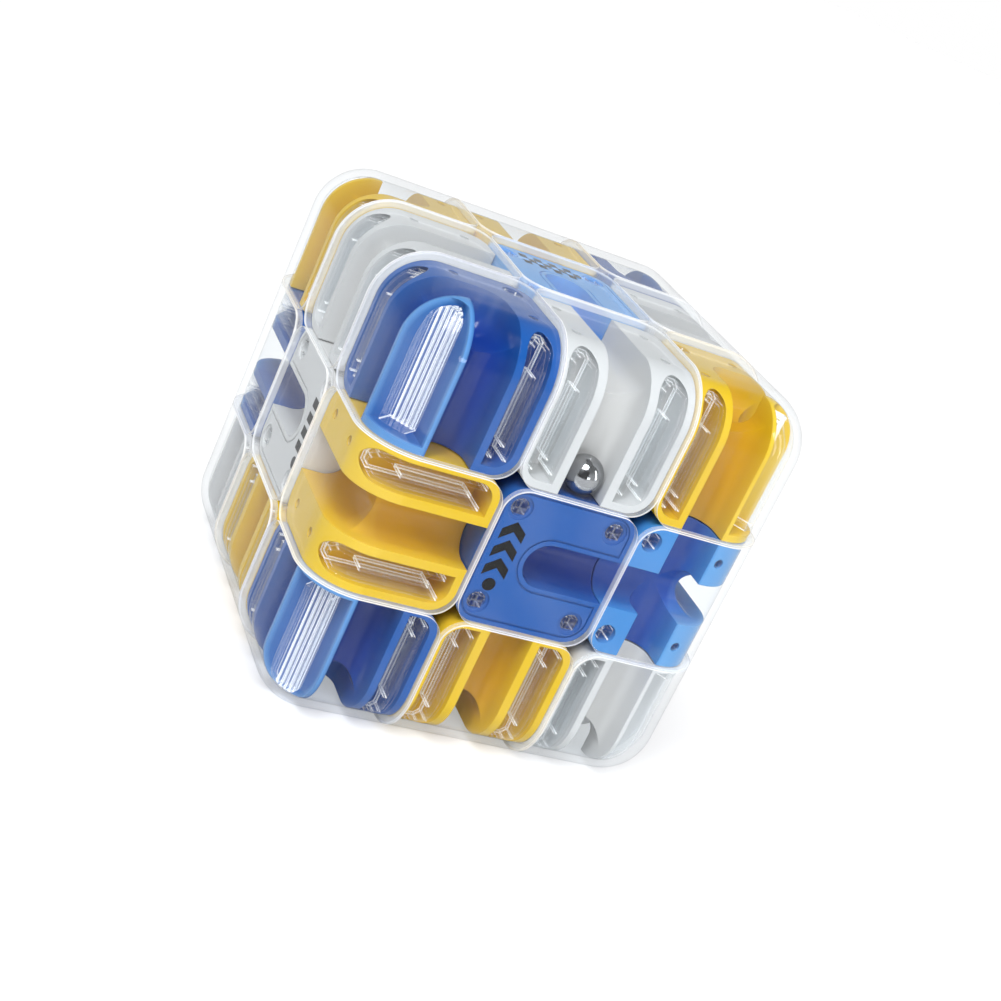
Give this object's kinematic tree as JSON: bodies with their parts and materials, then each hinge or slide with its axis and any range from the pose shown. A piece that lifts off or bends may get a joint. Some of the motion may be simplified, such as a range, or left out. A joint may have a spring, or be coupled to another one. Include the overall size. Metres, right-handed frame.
{
  "type": "twisting ball maze cube",
  "caption": "Hand-held layered cube puzzle: a loose steel ball rolls in rounded tracks under clear covers, and the outer layers turn.",
  "frame": {"origin": "centre of the cube and of its core", "axes": "-Y out of the front face, which holds the start plate; +Z out of the top face, which holds the finish plate; -X out of the left face"},
  "size_m": [0.085, 0.085, 0.085],
  "materials": {
    "blue_plastic": "glossy moulded plastic",
    "light_blue_plastic": "glossy moulded plastic",
    "yellow_plastic": "glossy moulded plastic",
    "white_plastic": "glossy moulded plastic",
    "clear_plastic": "polished clear moulded plastic",
    "dark_plastic": "fine matt moulded plastic",
    "spring_steel": "plain zinc-plated steel",
    "ball_steel": "polished"
  },
  "bodies": {
    "middle_layer": {"front_left_insert": "yellow_plastic", "front_right_insert": "blue_plastic", "back_left_insert": "blue_plastic", "back_right_insert": "white_plastic", "front_centre_insert": "blue_plastic", "back_centre_insert": "yellow_plastic", "left_centre_insert": "white_plastic", "right_centre_insert": "white_plastic", "front_left_cover": "clear_plastic", "front_right_cover": "clear_plastic", "back_left_cover": "clear_plastic", "back_right_cover": "clear_plastic", "front_centre_cover": "clear_plastic", "back_centre_cover": "clear_plastic", "left_centre_cover": "clear_plastic", "right_centre_cover": "clear_plastic", "core": "dark_plastic", "tension_screws": "spring_steel", "tension_springs": "spring_steel", "spring_washers": "spring_steel", "side_hubs": "dark_plastic"},
    "top_layer": {"top_front_left_insert": "blue_plastic", "top_front_right_insert": "yellow_plastic", "top_back_left_insert": "yellow_plastic", "top_back_right_insert": "blue_plastic", "top_front_insert": "white_plastic", "top_back_insert": "yellow_plastic", "top_left_insert": "white_plastic", "top_right_insert": "white_plastic", "top_centre_insert": "light_blue_plastic", "top_front_left_cover": "clear_plastic", "top_front_right_cover": "clear_plastic", "top_back_left_cover": "clear_plastic", "top_back_right_cover": "clear_plastic", "top_front_cover": "clear_plastic", "top_back_cover": "clear_plastic", "top_left_cover": "clear_plastic", "top_right_cover": "clear_plastic", "top_centre_cover": "clear_plastic", "top_hub": "dark_plastic"},
    "bottom_layer": {"bottom_front_left_insert": "blue_plastic", "bottom_front_right_insert": "white_plastic", "bottom_back_left_insert": "white_plastic", "bottom_back_right_insert": "yellow_plastic", "bottom_front_insert": "yellow_plastic", "bottom_back_insert": "white_plastic", "bottom_left_insert": "yellow_plastic", "bottom_right_insert": "blue_plastic", "bottom_centre_insert": "yellow_plastic", "bottom_front_left_cover": "clear_plastic", "bottom_front_right_cover": "clear_plastic", "bottom_back_left_cover": "clear_plastic", "bottom_back_right_cover": "clear_plastic", "bottom_front_cover": "clear_plastic", "bottom_back_cover": "clear_plastic", "bottom_left_cover": "clear_plastic", "bottom_right_cover": "clear_plastic", "bottom_centre_cover": "clear_plastic", "bottom_hub": "dark_plastic"},
    "ball": {"steel_ball": "ball_steel"}
  },
  "joints": [
    {"name": "top_turn", "type": "hinge", "parent": "middle_layer", "child": "top_layer", "pos_m": [0, 0, 0], "axis": [0, 0, 1], "continuous": true},
    {"name": "bottom_turn", "type": "hinge", "parent": "middle_layer", "child": "bottom_layer", "pos_m": [0, 0, 0], "axis": [0, 0, 1], "continuous": true},
    {"name": "ball_roll", "type": "slide", "parent": "top_layer", "child": "ball", "axis": [0, 0, 1], "range_m": [0, 0.0135]}
  ]
}
